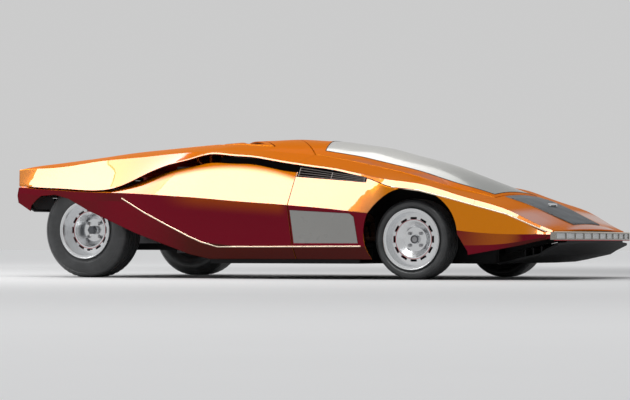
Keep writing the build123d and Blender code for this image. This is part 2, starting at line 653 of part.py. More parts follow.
def rear_frame():
    """Two ladders of tube beside the engine, and the cross tubes between them.  The rear one has a towing eye."""
    near, far = RAIL_Y, RAIL_Y + RAIL_W
    ladder = box(-1640, -452, near, far, RAIL_Z, RAIL_Z + RAIL_W) + box(-1640, -452, near, far, 400, 436)
    for x in (-1640, -1418, -1218, -492):
        low = RAIL_Z if x < -500 else FLOOR_Z + 8
        ladder += box(x, x + 40, near, far, low, 436)
    inside = RAIL_Y - FIT
    front = box(-492, -452, -inside, inside, RAIL_Z, RAIL_Z + RAIL_W)
    back = box(-1640, -1600, -inside, inside, RAIL_Z, RAIL_Z + RAIL_W)
    eye = box(-1700, -1630, TOW_EYE_Y - TOW_EYE_T / 2, TOW_EYE_Y + TOW_EYE_T / 2, 166, 214)
    eye -= rod((TOW_EYE_X, TOW_EYE_Y - 30, TOW_EYE_Z), (TOW_EYE_X, TOW_EYE_Y + 30, TOW_EYE_Z), TOW_EYE_R)
    return [*pair(ladder), front, back + eye]


def engine_block():
    return box(-1060, -560, -240, 240, 214, 620) + box(-1000, -620, -150, 150, 150, 700)


def transaxle():
    x, z = REAR, REAR_TYRE_R
    case = box(-1560, -1062, -150, 150, 190, 420)
    shafts = rod((x, -540, z), (x, 540, z), 22)
    return case + shafts


# ---------------------------------------------------------------- cabin
def seats():
    shell = [(600, 118), (600, 176), (560, 206), (230, 190), (-250, 700), (-310, 668), (150, 118)]
    return pair(prism_y(shell, DRIVER_Y - SEAT_W / 2, DRIVER_Y + SEAT_W / 2))


def dashboard():
    return prism_y([(880, 400), (880, 470), (700, 500), (690, 440)], -420, 420)


def steering_column():
    return rod((678, DRIVER_Y, 462), (640, DRIVER_Y, 474), 16)


def steering_wheel():
    centre = Plane(origin=(along(628), DRIVER_Y, 478), z_dir=(-265, 0, 84))
    grip = [(WHEEL_R + 10 * cos(k * pi / 4), 10 * sin(k * pi / 4)) for k in range(8)]
    ring = revolve(Plane.XZ * make_face(Polyline(*grip, close=True)), axis=Axis.Z)
    wheel = centre * ring
    wheel += centre * Cylinder(30, 16)
    for angle in (90, 210, 330):
        spoke = Rot(0, 0, angle) * (Pos(WHEEL_R / 2, 0, 0) * Box(WHEEL_R - 12, 24, 6))
        wheel += centre * spoke
    return wheel


def console():
    z = FLOOR_Z + FLOOR_T + 90 + FIT
    lever = rod((300, 0, z + 30), (280, 0, z + 130), 7) + ball(278, 0, z + 138, 18)
    return box(120, 420, -40, 40, z, z + 40) + lever


# ---------------------------------------------------------------- tail
def tail_grille():
    frame = box(-1762, -1750, -700, 700, 480, 660) - box(-1770, -1740, -680, 680, 500, 640)
    for i in range(6):
        z = 512 + i * 23
        frame += box(-1760, -1752, -690, 690, z, z + 8)
    for y in (-340, 0, 340):
        frame += box(-1760, -1752, y - 5, y + 5, 490, 650)
    return frame


def tail_lamps():
    bar = box(-1780, -1764, -716, 716, 472, 654) - box(-1790, -1750, -700, 700, 486, 642)
    return bar


def rear_valance():
    return prism_y([(-1790, 466), (-1790, 456), (-1712, 410), (-1700, 416), (-1776, 462)], -715, 715)


def exhaust():
    pipes = []
    for side in (-1, 1):
        pipe = rod((-1570, side * 45, 330), (-1790, side * 45, 372), 32)
        pipe -= rod((-1600, side * 45, 335.7), (-1840, side * 45, 381.5), 27)
        pipes.append(pipe)
    box_ = box(-1640 - 60, -1570, -190, 190, 290, 380)
    return pipes[0] + pipes[1] + box_


# ---------------------------------------------------------------- writing
def all_pieces():
    pieces = body_uppers()
    rear, front = flank_pieces()
    for name, shape in {"flank_rear": rear, "flank_front": front}.items():
        pieces[f"{name}_right"] = shape
        pieces[f"{name}_left"] = mirrored(shape, 1)
    pieces["side_panes"] = pair(side_pane())
    pieces["slit_louvres"] = pair(slit_louvre())
    pieces["nose_mat"] = nose_mat(upper_skin(MAT_T))
    wheels = {
        "front_right": (FRONT, FRONT_TYRE_R, FRONT_TYRE_W, FRONT_DISH, FRONT_SINK, -1),
        "front_left": (FRONT, FRONT_TYRE_R, FRONT_TYRE_W, FRONT_DISH, FRONT_SINK, 1),
        "rear_right": (REAR, REAR_TYRE_R, REAR_TYRE_W, REAR_DISH, REAR_SINK, -1),
        "rear_left": (REAR, REAR_TYRE_R, REAR_TYRE_W, REAR_DISH, REAR_SINK, 1),
    }
    for name, (x, radius, width, dish, sink, side) in wheels.items():
        pieces[f"tyre_{name}"] = tyre(x, radius, radius, width, side)
        pieces[f"rim_{name}"] = rim(x, radius, width, dish, sink, side)
    pieces["knuckle_right"] = knuckle(-1)
    pieces["knuckle_left"] = knuckle(1)
    for maker in (windscreen, light_strip, headlamps, chin, front_suspension, rear_suspension, floor_pan, sills,
                  cabin_sides, bulkheads, front_frame, rear_frame, engine_block, transaxle, seats, dashboard,
                  steering_column, steering_wheel, console, tail_grille, tail_lamps, rear_valance, exhaust):
        pieces[maker.__name__] = maker()
    return pieces


def write(name, shape):
    solids = [solid for part in (shape if isinstance(shape, list) else [shape]) for solid in part.solids()]
    export_step(solids[0] if len(solids) == 1 else Compound(children=solids), f"parts/{name}.step")


os.makedirs("parts", exist_ok=True)
for piece_name, piece_shape in all_pieces().items():
    write(piece_name, piece_shape)
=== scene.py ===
"""Looks of the low wedge coupe: body shells, glass, wheels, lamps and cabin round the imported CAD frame.

Everything is in metres: X runs ahead, Y to the car's left and Z up from the ground.
"""
import bmesh
import bpy
import json
import math
from collections import namedtuple
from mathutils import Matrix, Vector
from mathutils.bvhtree import BVHTree


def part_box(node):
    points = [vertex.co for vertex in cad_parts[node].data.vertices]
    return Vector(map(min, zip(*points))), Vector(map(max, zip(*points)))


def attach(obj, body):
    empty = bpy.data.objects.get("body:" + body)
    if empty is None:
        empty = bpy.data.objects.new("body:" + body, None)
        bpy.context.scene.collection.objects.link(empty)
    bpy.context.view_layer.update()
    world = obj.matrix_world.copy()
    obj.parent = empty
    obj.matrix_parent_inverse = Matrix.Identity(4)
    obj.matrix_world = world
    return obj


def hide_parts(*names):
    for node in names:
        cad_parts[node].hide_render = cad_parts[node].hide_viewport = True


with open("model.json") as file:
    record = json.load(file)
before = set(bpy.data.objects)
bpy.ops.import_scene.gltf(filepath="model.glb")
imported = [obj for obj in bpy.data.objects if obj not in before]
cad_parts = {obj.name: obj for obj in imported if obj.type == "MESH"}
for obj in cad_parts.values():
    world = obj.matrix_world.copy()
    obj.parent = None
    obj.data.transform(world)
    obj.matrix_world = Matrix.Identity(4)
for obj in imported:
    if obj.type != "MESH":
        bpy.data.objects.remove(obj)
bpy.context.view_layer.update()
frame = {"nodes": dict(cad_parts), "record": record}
SIDES = ((-1, "right"), (1, "left"))


def place_object(name, data):
    obj = bpy.data.objects.new(name, data)
    bpy.context.scene.collection.objects.link(obj)
    return obj


# ---------------------------------------------------------------- camera, in metres and picture pixels
PICTURE_W, PICTURE_H = 630, 400
VIEW_AZIMUTH = math.radians(26.2)
VIEW_DISTANCE = 15.0
CAMERA_HEIGHT = 0.207
FOCAL_PX = 2396.0
AXIS_PX = (327.9, 244.1)          # where the level line of sight meets the picture
SENSOR_MM = 36.0


def make_camera():
    data = bpy.data.cameras.new("viewing_camera")
    data.sensor_width = SENSOR_MM
    data.lens = FOCAL_PX / PICTURE_W * SENSOR_MM
    data.shift_x = (PICTURE_W / 2 - AXIS_PX[0]) / PICTURE_W
    data.shift_y = (AXIS_PX[1] - PICTURE_H / 2) / PICTURE_W
    camera = place_object("viewing_camera", data)
    across, back = math.sin(VIEW_AZIMUTH), -math.cos(VIEW_AZIMUTH)
    camera.location = (VIEW_DISTANCE * across, VIEW_DISTANCE * back, CAMERA_HEIGHT)
    camera.rotation_euler = (math.radians(90), 0, VIEW_AZIMUTH)
    bpy.context.scene.camera = camera


# ---------------------------------------------------------------- shader nodes
class Sock:
    """A shader socket with arithmetic, so that a material reads like a formula."""

    def __init__(self, tree, out):
        self.tree = tree
        self.out = out

    def math(self, operation, *others):
        return outlet(self.tree, "ShaderNodeMath", (self, *others), operation=operation)

    def __add__(self, other):
        return self.math("ADD", other)

    __radd__ = __add__

    def __mul__(self, other):
        return self.math("MULTIPLY", other)

    __rmul__ = __mul__

    def __sub__(self, other):
        return self.math("SUBTRACT", other)

    def __rsub__(self, other):
        return self * -1.0 + other


def feed(tree, value, target):
    """Links a socket to an input, or sets the input to a number or a colour."""
    if isinstance(value, Sock):
        tree.links.new(value.out, target)
    elif target.type == "RGBA":
        target.default_value = (*value, 1.0)
    else:
        target.default_value = value


def add_node(tree, kind, inputs=(), **settings):
    """Adds a node: its settings first, then the value or the link of each input, by place or by name."""
    node = tree.nodes.new(kind)
    for key, value in settings.items():
        setattr(node, key, value)
    for key, value in inputs.items() if isinstance(inputs, dict) else enumerate(inputs):
        feed(tree, value, node.inputs[key])
    return node


def outlet(tree, kind, inputs=(), out=0, **settings):
    return Sock(tree, add_node(tree, kind, inputs, **settings).outputs[out])


class Shader:
    """One node material: texture helpers and the finished surface."""

    def __init__(self, name):
        self.material = bpy.data.materials.new(name)
        self.material.use_nodes = True
        self.tree = self.material.node_tree
        self.tree.nodes.clear()
        self.surface = add_node(self.tree, "ShaderNodeBsdfPrincipled")
        add_node(self.tree, "ShaderNodeOutputMaterial", {"Surface": Sock(self.tree, self.surface.outputs[0])})
        self.coords = self.outlet("ShaderNodeTexCoord", out="Object")
        self.normal = self.outlet("ShaderNodeTexCoord", out="Normal")

    def outlet(self, kind, inputs=(), out=0, **settings):
        return outlet(self.tree, kind, inputs, out, **settings)

    def split(self, vector):
        node = add_node(self.tree, "ShaderNodeSeparateXYZ", (vector,))
        return [Sock(self.tree, out) for out in node.outputs]

    def noise(self, scale, detail=2.0):
        return self.outlet("ShaderNodeTexNoise", {"Vector": self.coords, "Scale": scale, "Detail": detail})

    def cells(self, scale):
        return self.outlet("ShaderNodeTexVoronoi", {"Vector": self.coords, "Scale": scale}, "Distance")

    def ramp(self, value, low, high, to_low=0.0, to_high=1.0):
        """Smooth step of a value between two limits."""
        return self.outlet("ShaderNodeMapRange", (value, low, high, to_low, to_high),
                           interpolation_type="SMOOTHSTEP")

    def fade(self, value, low, high):
        """1 up to the first limit and 0 past the second."""
        return self.ramp(value, low, high, 1.0, 0.0)

    def blend(self, factor, low, high):
        """From one number to another as a factor goes from 0 to 1."""
        return self.ramp(factor, 0.0, 1.0, low, high)

    def mix(self, factor, low, high):
        """From one colour to another as a factor goes from 0 to 1."""
        return self.outlet("ShaderNodeMix", {0: factor, 6: low, 7: high}, 2, data_type="RGBA")

    def bevel(self, radius, samples=6):
        """Rounds the sharp creases of the surface in its shading."""
        return self.outlet("ShaderNodeBevel", {"Radius": radius}, samples=samples)

    def bump(self, height, strength, distance, normal=None):
        inputs = {"Strength": strength, "Distance": distance, "Height": height}
        if normal:
            inputs["Normal"] = normal
        return self.outlet("ShaderNodeBump", inputs)

    def finish(self, **inputs):
        """Sets the surface's inputs, named as in the shader but in lower case, and returns the material."""
        for key, value in inputs.items():
            feed(self.tree, value, self.surface.inputs[key.replace("_", " ").title().replace("Ior", "IOR")])
        return self.material


# ---------------------------------------------------------------- materials
# Paint: colours are linear light.  A turn is the range of the surface normal's height over which one colour
# gives way to another.
COPPER = ((0.72, 0.215, 0.006), (0.82, 0.26, 0.010))
# Darker copper on facets that face up and out is a painted shade, set against the lamp's highlight on them.
FACET_PAINTED_SHADE = (0.50, 0.135, 0.005)
# Darker copper on level tops is a painted shade, in place of a dark reflection there.
LEVEL_TOP_PAINTED_SHADE = (0.52, 0.138, 0.002)
# Dark copper along the shoulder's top under the scoop lip is a painted shadow.
SCOOP_PAINTED_SHADOW = (0.13, 0.036, 0.002)
COPPER_TINT = (1.0, 0.42, 0.10)
# Burgundy where the surface turns down is a painted shade: it stands for the dark floor mirrored in the lower
# flank.
BURGUNDY_PAINTED_SHADE = (0.165, 0.004, 0.014)
# Darker burgundy on undersides is a painted shade.
UNDERSIDE_PAINTED_SHADE = (0.075, 0.012, 0.010)
# Redder burgundy in a band under the belt is a painted glow, a painted reflection.
BELT_PAINTED_GLOW = (0.30, 0.045, 0.006)
LEVEL_TURN = (0.87, 0.93)
FACET_TURN = (0.36, 0.50)
BELT_TURN = (-0.085, 0.035)
BELOW_TURN = (-0.42, -0.18)
GLOSS_TURN = (0.15, 0.45)
BELT_FALL = 0.075                           # how far the belt drops over a metre towards the nose
BELT_RISE = (0.365, 0.455)                  # heights over which the painted glow comes up to the belt
BELT_BACK, BELT_FRONT = (-0.70, -0.40), (0.12, 0.20)
SCOOP_TOP = (0.6743, -0.2043, -0.3407)      # height of the shoulder's top under the scoop: a + b x + c x x
SCOOP_LOW, SCOOP_HIGH = (-0.060, -0.016), (0.012, 0.018)
SCOOP_BACK, SCOOP_FRONT = (-0.86, -0.72), (0.168, 0.174)
PAINT_GRAIN, FLAKE_GRAIN = 900.0, 1600.0    # features to a metre
PAINT_EDGE = 0.008


def car_paint():
    """Clear-coated copper metallic with light and shade painted in. Burgundy where the surface turns down,
    the darker undersides, facets and level tops, and the band under the scoop are painted shade; the band
    below the belt is a painted glow.
    """
    s = Shader("copper_paint")
    x, y, z = s.split(s.coords)
    up = s.split(s.normal)[2]
    level = s.ramp(up, *LEVEL_TURN)
    # Painted shadow: a band along the shoulder's top, under the scoop lip.
    below_top = z - (x * x * SCOOP_TOP[2] + x * SCOOP_TOP[1] + SCOOP_TOP[0])
    scoop_shadow = s.ramp(below_top, *SCOOP_LOW) * s.fade(below_top, *SCOOP_HIGH)
    scoop_shadow = scoop_shadow * s.ramp(x, *SCOOP_BACK) * s.fade(x, *SCOOP_FRONT)
    copper = s.mix(s.noise(PAINT_GRAIN), *COPPER)
    # Painted shade on facets facing up and out, and on level tops.
    copper = s.mix(s.ramp(up, *FACET_TURN), copper, FACET_PAINTED_SHADE)
    copper = s.mix(level, copper, LEVEL_TOP_PAINTED_SHADE)
    copper = s.mix(scoop_shadow, copper, SCOOP_PAINTED_SHADOW)
    # Painted glow in a band below the belt.
    painted_glow = s.ramp(z + x * BELT_FALL, *BELT_RISE) * s.ramp(x, *BELT_BACK) * s.fade(x, *BELT_FRONT)
    # Painted shade: burgundy where the surface turns down, darker still on undersides.
    painted_flank_shade = s.mix(s.ramp(up, *BELOW_TURN), UNDERSIDE_PAINTED_SHADE, BURGUNDY_PAINTED_SHADE)
    painted_flank_shade = s.mix(painted_glow, painted_flank_shade, BELT_PAINTED_GLOW)
    flakes = s.cells(FLAKE_GRAIN)
    gloss = s.ramp(up, *GLOSS_TURN, 0.05, 1.0) * s.blend(level, 1.0, 0.05) * (1.0 - scoop_shadow)
    return s.finish(base_color=s.mix(s.ramp(up, *BELT_TURN), painted_flank_shade, copper),
                    metallic=s.blend(level, 1.0, 0.40), roughness=s.blend(flakes, 0.20, 0.30),
                    specular_tint=COPPER_TINT, specular_ior_level=0.0,
                    coat_weight=gloss, coat_roughness=0.02, coat_ior=1.93,
                    normal=s.bump(flakes, 0.04, 0.0004, s.bevel(PAINT_EDGE)))


def shades(colour, share):
    """A darker or lighter shade of a colour."""
    return tuple(c * share for c in colour)


# Textures: features to a metre, then layers of detail.
METAL_GRAIN = (220.0, 4.0)
PLASTIC_GRAIN = (420.0, 3.0)
RUBBER_GRAIN = (300.0, 5.0)
DUST_PATCHES = (14.0, 3.0)
GLASS_HAZE = (9.0, 2.0)
HIDE_SHADES = (12.0, 3.0)
HIDE_PORES = 420.0
FLOOR_SHADES = 2.0
GRAIN_BAND = (0.3, 0.7)           # most of a grain's values lie in it


def plain_metal(name, colour, rough):
    s = Shader(name)
    grain = s.noise(*METAL_GRAIN)
    return s.finish(base_color=s.mix(grain, shades(colour, 0.92), colour), metallic=1.0,
                    roughness=s.ramp(grain, *GRAIN_BAND, rough * 0.85, rough * 1.15),
                    normal=s.bump(grain, 0.04, 0.0003))


def dark_plastic(name, colour, rough):
    s = Shader(name)
    grain = s.noise(*PLASTIC_GRAIN)
    return s.finish(base_color=s.mix(grain, shades(colour, 0.7), colour), metallic=0.0,
                    roughness=s.ramp(grain, *GRAIN_BAND, rough * 0.9, rough * 1.1), specular_ior_level=0.25,
                    normal=s.bump(grain, 0.15, 0.0006))


def rubber(name, colour, rough):
    """Rubber with pale dust in patches."""
    s = Shader(name)
    grain = s.noise(*RUBBER_GRAIN)
    dust = s.ramp(s.noise(*DUST_PATCHES), 0.35, 0.75)
    return s.finish(base_color=s.mix(dust, colour, shades(colour, 1.5)), metallic=0.0,
                    roughness=s.ramp(grain, *GRAIN_BAND, rough * 0.9, rough * 1.2),
                    normal=s.bump(grain, 0.15, 0.0005))


# Behind the disc the alloy is painted nearly black: a painted shade.
PAINTED_SHADE_TO_BRIGHT_Y = (0.615, 0.655)


def wheel_alloy():
    """Polished on the outer side; behind the disc dull, and nearly black as a painted shade."""
    s = Shader("wheel_alloy")
    outer = s.ramp(s.split(s.coords)[1].math("ABSOLUTE"), *PAINTED_SHADE_TO_BRIGHT_Y)
    grain = s.noise(*METAL_GRAIN)
    return s.finish(base_color=s.mix(outer, (0.012, 0.012, 0.012), (0.72, 0.73, 0.74)),
                    metallic=s.blend(outer, 0.3, 1.0), specular_ior_level=0.3,
                    roughness=s.blend(outer, 0.7, 0.22) + grain * 0.04, normal=s.bump(grain, 0.04, 0.0003))


# The windscreen is painted paler towards the roof: a painted reflection.
PAINTED_REFLECTION_FADE_X = (0.55, 1.25)


def windscreen_glass():
    """Metal-coated glass; its paler colour towards the roof is a painted reflection."""
    s = Shader("windscreen_glass")
    ahead = s.ramp(s.split(s.coords)[0], *PAINTED_REFLECTION_FADE_X)
    haze = s.noise(*GLASS_HAZE)
    return s.finish(base_color=s.mix(ahead, (0.96, 0.95, 0.92), (0.40, 0.41, 0.40)), metallic=0.85,
                    roughness=s.ramp(haze, *GRAIN_BAND, 0.10, 0.15), alpha=0.9, coat_weight=0.15,
                    coat_roughness=0.02, specular_tint=(0.8, 0.8, 0.78))


def pane_glass():
    """Frosted grey side window."""
    s = Shader("pane_glass")
    haze = s.noise(*GLASS_HAZE)
    return s.finish(base_color=(0.26, 0.255, 0.24), metallic=0.0, alpha=0.97, ior=1.5,
                    roughness=s.ramp(haze, *GRAIN_BAND, 0.25, 0.40), coat_weight=1.0, coat_roughness=0.02)


def lamp_lens(name, colour, pitch, alpha):
    """Pressed glass with upright flutes."""
    s = Shader(name)
    across = s.split(s.coords)[1]
    flutes = (across * (2 * math.pi / pitch)).math("SINE")
    return s.finish(base_color=s.mix(s.ramp(flutes, -1.0, 1.0), shades(colour, 0.75), colour), metallic=0.15,
                    roughness=0.12, alpha=alpha, coat_weight=1.0, coat_roughness=0.03,
                    normal=s.bump(flutes, 0.5, 0.001))


WIRE_PITCH = 0.012


def wire_mesh():
    """Woven wire: a fine grid of dark metal."""
    s = Shader("wire_mesh")
    across, up = s.split(s.coords)[1:]
    weft, warp = [(axis * (2 * math.pi / WIRE_PITCH)).math("SINE") for axis in (across, up)]
    wires = weft.math("MAXIMUM", warp)
    return s.finish(base_color=s.mix(s.ramp(wires, 0.3, 0.8), (0.006, 0.006, 0.007), (0.16, 0.16, 0.165)),
                    metallic=0.8, roughness=0.4, normal=s.bump(wires, 0.5, 0.0015))


def leather(name, dark, light):
    s = Shader(name)
    pores = s.cells(HIDE_PORES)
    return s.finish(base_color=s.mix(s.noise(*HIDE_SHADES), dark, light), metallic=0.0,
                    roughness=s.ramp(pores, 0.0, 0.6, 0.38, 0.6), normal=s.bump(pores, 0.25, 0.0008))


METALS = {                                       # colour, roughness
    "lamp_frame": ((0.36, 0.34, 0.31), 0.25),
    "louvre_metal": ((0.10, 0.09, 0.085), 0.35),
    "forged_steel": ((0.10, 0.10, 0.105), 0.45),
    "engine_alloy": ((0.30, 0.30, 0.31), 0.5),
    "exhaust_steel": ((0.55, 0.52, 0.5), 0.18),
    # cream strips that are painted highlights along creases and edges
    "crease_line": ((0.95, 0.80, 0.62), 0.2),
    "bright_metal": ((0.84, 0.85, 0.86), 0.16),
    "cap_metal": ((0.13, 0.135, 0.145), 0.3),
    "nut_steel": ((0.34, 0.34, 0.35), 0.3),
}
PLASTICS = {
    "black_trim": ((0.007, 0.007, 0.008), 0.6),
    "frame_steel": ((0.009, 0.009, 0.010), 0.6),      # painted black
    "trim_plastic": ((0.05, 0.04, 0.035), 0.5),
    "red_stripe": ((0.50, 0.012, 0.02), 0.35),
}
RUBBERS = {
    "mat_rubber": ((0.055, 0.060, 0.065), 0.38),
    "tyre_rubber": ((0.034, 0.035, 0.036), 0.30),
}


def make_materials():
    made = {
        "body_paint": car_paint(),
        "windscreen_glass": windscreen_glass(),
        "pane_glass": pane_glass(),
        "lamp_glass": lamp_lens("lamp_glass", (0.74, 0.76, 0.76), 0.012, 0.95),
        "tail_glass": lamp_lens("tail_glass", (0.45, 0.02, 0.015), 0.018, 1.0),
        "rim_alloy": wheel_alloy(),
        "wire_mesh": wire_mesh(),
        "seat_leather": leather("brown_leather", (0.10, 0.035, 0.015), (0.20, 0.075, 0.035)),
        "wheel_rim_leather": leather("black_leather", (0.02, 0.018, 0.016), (0.035, 0.03, 0.028)),
    }
    for finish, table in ((plain_metal, METALS), (dark_plastic, PLASTICS), (rubber, RUBBERS)):
        made.update({name: finish(name, *values) for name, values in table.items()})
    return made


materials = make_materials()


def dress_cad_nodes():
    slots = {row["node"]: row["material_slot"] for row in frame["record"]["subparts"]}
    for name, obj in frame["nodes"].items():
        for slot in obj.material_slots:
            slot.material = materials[slots[name]]


# ---------------------------------------------------------------- mesh tools
AHEAD, LEFT, UP = Vector((1, 0, 0)), Vector((0, 1, 0)), Vector((0, 0, 1))
SHARP_ANGLE = 32.0                # creases sharper than this, in degrees, stay crisp


def piece(name, bm, material, body="root", replaced=(), sharp=SHARP_ANGLE):
    """Turns a bmesh into a shown piece that rides on a body."""
    bmesh.ops.recalc_face_normals(bm, faces=bm.faces)
    mesh = bpy.data.meshes.new(name)
    bm.to_mesh(mesh)
    bm.free()
    mesh.shade_smooth()
    mesh.set_sharp_from_angle(angle=math.radians(sharp))
    mesh.materials.append(materials[material])
    obj = place_object(name, mesh)
    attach(obj, body)
    if replaced:
        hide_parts(*replaced)
    return obj


def add_rings(bm, rings, closed_path=False):
    """Joins rings of points into a skin; each ring has the same number of points."""
    rows = [[bm.verts.new(point) for point in ring] for ring in rings]
    pairs = list(zip(rows, rows[1:]))
    if closed_path:
        pairs.append((rows[-1], rows[0]))
    for a, b in pairs:
        for i, j in zip(range(len(a)), [*range(1, len(a)), 0]):
            bm.faces.new((a[i], a[j], b[j], b[i]))
    return rows


def capped(bm, rings):
    """Skin over rings of points, closed by a face at both ends."""
    rows = add_rings(bm, rings)
    for row in (rows[0], rows[-1]):
        bm.faces.new(row)


def circle(centre, first_axis, second_axis, radius, count):
    angles = [2 * math.pi * i / count for i in range(count)]
    return [centre + (first_axis * math.cos(a) + second_axis * math.sin(a)) * radius for a in angles]


def turned(bm, profile, x, z, side, segments, shape=None):
    """Ring turned about a wheel's axle from a closed profile of (distance from the car's middle, radius)."""
    rings = []
    for i in range(segments):
        angle = 2 * math.pi * i / segments
        radii = [shape(i, y, r) if shape else r for y, r in profile]
        rings.append([(x + radius * math.sin(angle), side * y, z + radius * math.cos(angle))
                      for (y, _), radius in zip(profile, radii)])
    add_rings(bm, rings, closed_path=True)


def swept(bm, path, section):
    """Bar that follows a path of (point, side axis, up axis), with a section of (along side, along up)."""
    capped(bm, [[Vector(point) + side_axis * a + up_axis * b for a, b in section]
                for point, side_axis, up_axis in path])


def heading(points, i):
    """The way that a line of points runs at one of them."""
    return points[min(i + 1, len(points) - 1)] - points[max(i - 1, 0)]


def surface_of(*nodes):
    """Search trees of CAD nodes, for laying trim on them."""
    trees = []
    for node in nodes:
        mesh = frame["nodes"][node].data
        mesh.calc_loop_triangles()
        corners = [v.co for v in mesh.vertices]
        trees.append(BVHTree.FromPolygons(corners, [t.vertices for t in mesh.loop_triangles]))
    return trees


def hit(trees, start, direction):
    """Nearest place where a ray meets the nodes, with the surface's normal there, or nothing."""
    found = [tree.ray_cast(Vector(start), Vector(direction)) for tree in trees]
    found = [(distance, place, normal) for place, normal, _, distance in found if place is not None]
    return min(found, key=lambda row: row[0])[1:] if found else None


def spaced(points, step=0.03):
    """The same open line with its points closer together."""
    out = [Vector(points[0])]
    for a, b in zip(points, points[1:]):
        a, b = Vector(a), Vector(b)
        count = max(1, round((b - a).length / step))
        out += [a.lerp(b, (i + 1) / count) for i in range(count)]
    return out


def half_round(radius, count=7, root=0.002):
    """Section of a half-round moulding whose root is sunk into the surface."""
    angles = [math.pi * i / (count - 1) for i in range(count)]
    arc = [(radius * math.cos(a), radius * math.sin(a)) for a in angles]
    return arc + [(-radius, -root), (radius, -root)]


def laid_moulding(bm, trees, line, direction, radius):
    """Half-round moulding laid on the body along a line of start points that are cast in one direction."""
    direction = Vector(direction)
    found = [row for row in (hit(trees, point, direction) for point in line) if row]
    places = [place for place, _ in found]
    normals = [normal if normal.dot(direction) < 0 else -normal for _, normal in found]
    swept(bm, [(place, normal.cross(heading(places, i)).normalized(), normal)
               for i, (place, normal) in enumerate(zip(places, normals))], half_round(radius))


# ---------------------------------------------------------------- wheels
# Station along the car, tyre radius and width, how far the disc is dished and the hub sunk in it, and the
# radius of the lug circle.
Axle = namedtuple("Axle", "x radius width dish sink lug_circle")
AXLES = {"front": Axle(0.922, 0.235, 0.190, 0.040, 0.024, 0.049),
         "rear": Axle(-1.298, 0.295, 0.226, 0.064, 0.050, 0.060)}
FACE_Y = 0.790                    # the tyres' outer walls, from the car's middle
RIM_SETBACK = 0.008
BEAD_R = 0.165
TREAD_SEGMENTS = 192
BEAD = [(0.0185, 0.1657), (0.0180, 0.1800), (0.0160, 0.1850)]     # (in from the face, radius)
WALL_R = 0.186
# (in from the face, share of the wall's height)
WALL = [(0.0105, 0.08), (0.0100, 0.10), (0.0072, 0.13), (0.0030, 0.26), (0.0006, 0.38), (0.0, 0.48),
        (0.0010, 0.57), (0.0040, 0.67), (0.0066, 0.73), (0.0052, 0.745), (0.0062, 0.77), (0.0108, 0.83),
        (0.0175, 0.90), (0.0265, 0.96)]
SHOULDER_IN = 0.0360
GROOVES = (0.25, 0.42, 0.58, 0.75)                                # shares of the tread's width
GROOVE_HALF = 0.0035
GROOVE_DEPTH = 0.006
GROOVE_SLOPE = 0.001
SIPE_DEPTH = 0.005
SIPE_CROWN = 0.004                # from the tread's top down to where a sipe starts
SIPE_SPACING = 4                                                  # in segments
SIPE_REACH = 0.20                                                 # share of the tyre's width


def tyre_profile(radius, width):
    """Closed section of a tyre: bulged walls, a rib at each shoulder and grooves round the tread."""
    height = radius - WALL_R
    half = BEAD + [(inset, WALL_R + height * share) for inset, share in WALL] + [(SHOULDER_IN, radius)]
    lip = GROOVE_HALF + GROOVE_SLOPE
    groove = ((-lip, 0), (-GROOVE_HALF, GROOVE_DEPTH), (GROOVE_HALF, GROOVE_DEPTH), (lip, 0))
    tread = [(width * share + step, radius - depth) for share in GROOVES for step, depth in groove]
    far = [(width - inset, r) for inset, r in reversed(half)]
    return [(FACE_Y - inset, r) for inset, r in half + tread + far]


def wheel_side(name):
    end, hand = name.split("_")
    return AXLES[end], -1 if hand == "right" else 1


def make_tyre(name):
    """Tyre with short sipes cut into both shoulders of its tread."""
    axle, side = wheel_side(name)

    def with_sipes(i, y, r):
        at_shoulder = min(FACE_Y - y, y - (FACE_Y - axle.width)) < SIPE_REACH * axle.width
        cut = at_shoulder and r > axle.radius - SIPE_CROWN and i % SIPE_SPACING == 0
        return r - SIPE_DEPTH if cut else r

    bm = bmesh.new()
    profile = tyre_profile(axle.radius, axle.width)
    turned(bm, profile, axle.x, axle.radius, side, TREAD_SEGMENTS, with_sipes)
    piece(f"tyre_{name}_tread", bm, "tyre_rubber", f"wheel_{name}", [f"tyre_{name}"])


# Profiles turned about the axle: (out, radius), where out is from the hub's face, the disc's or the rim's.
CAP_SEGMENTS, BUTTON_SEGMENTS, LINE_SEGMENTS, LIP_SEGMENTS = 48, 36, 96, 128
HUB_CAP = [(0.012, 0.0245), (0.019, 0.0240), (0.0215, 0.0220), (0.0215, 0.0190), (0.0185, 0.0180),
           (0.012, 0.0180)]
CAP_BUTTON = [(0.013, 0.0178), (0.0180, 0.0178), (0.0205, 0.012), (0.0212, 0.0005), (0.013, 0.0005)]
RIM_LIP_R = BEAD_R + 0.0145
RIM_LIP = [(-0.0095, -0.002), (-0.006, 0.0006), (-0.001, 0.001), (0.0025, -0.001), (0.0032, -0.004),
           (0.0015, -0.007), (-0.003, -0.0085)]                   # radius from the lip's own
RED_LINES = ((0.1146, 0.0042), (0.1312, 0.0004))                  # radius, out from the disc
RED_LINE = [(-0.0010, -0.0012), (0.0012, -0.0012), (0.0012, 0.0012), (-0.0010, 0.0012)]
AXLE_NUT = (0.010, 0.028, 0.034)                                  # out from the hub, corner radius, height
LUG_NUT = (0.0005, 0.0105, 0.015)
LUGS = 4
NUT_CHAMFER = ((0.0, 1.0), (0.75, 1.0), (1.0, 0.78))              # share of the height, share of the radius


def hex_nut(bm, x, y, z, side, size, height):
    """Hexagonal nut with a chamfered face, its axis along Y."""
    capped(bm, [circle(Vector((x, side * (y + height * rise), z)), AHEAD, UP, size * scale, 6)
                for rise, scale in NUT_CHAMFER])


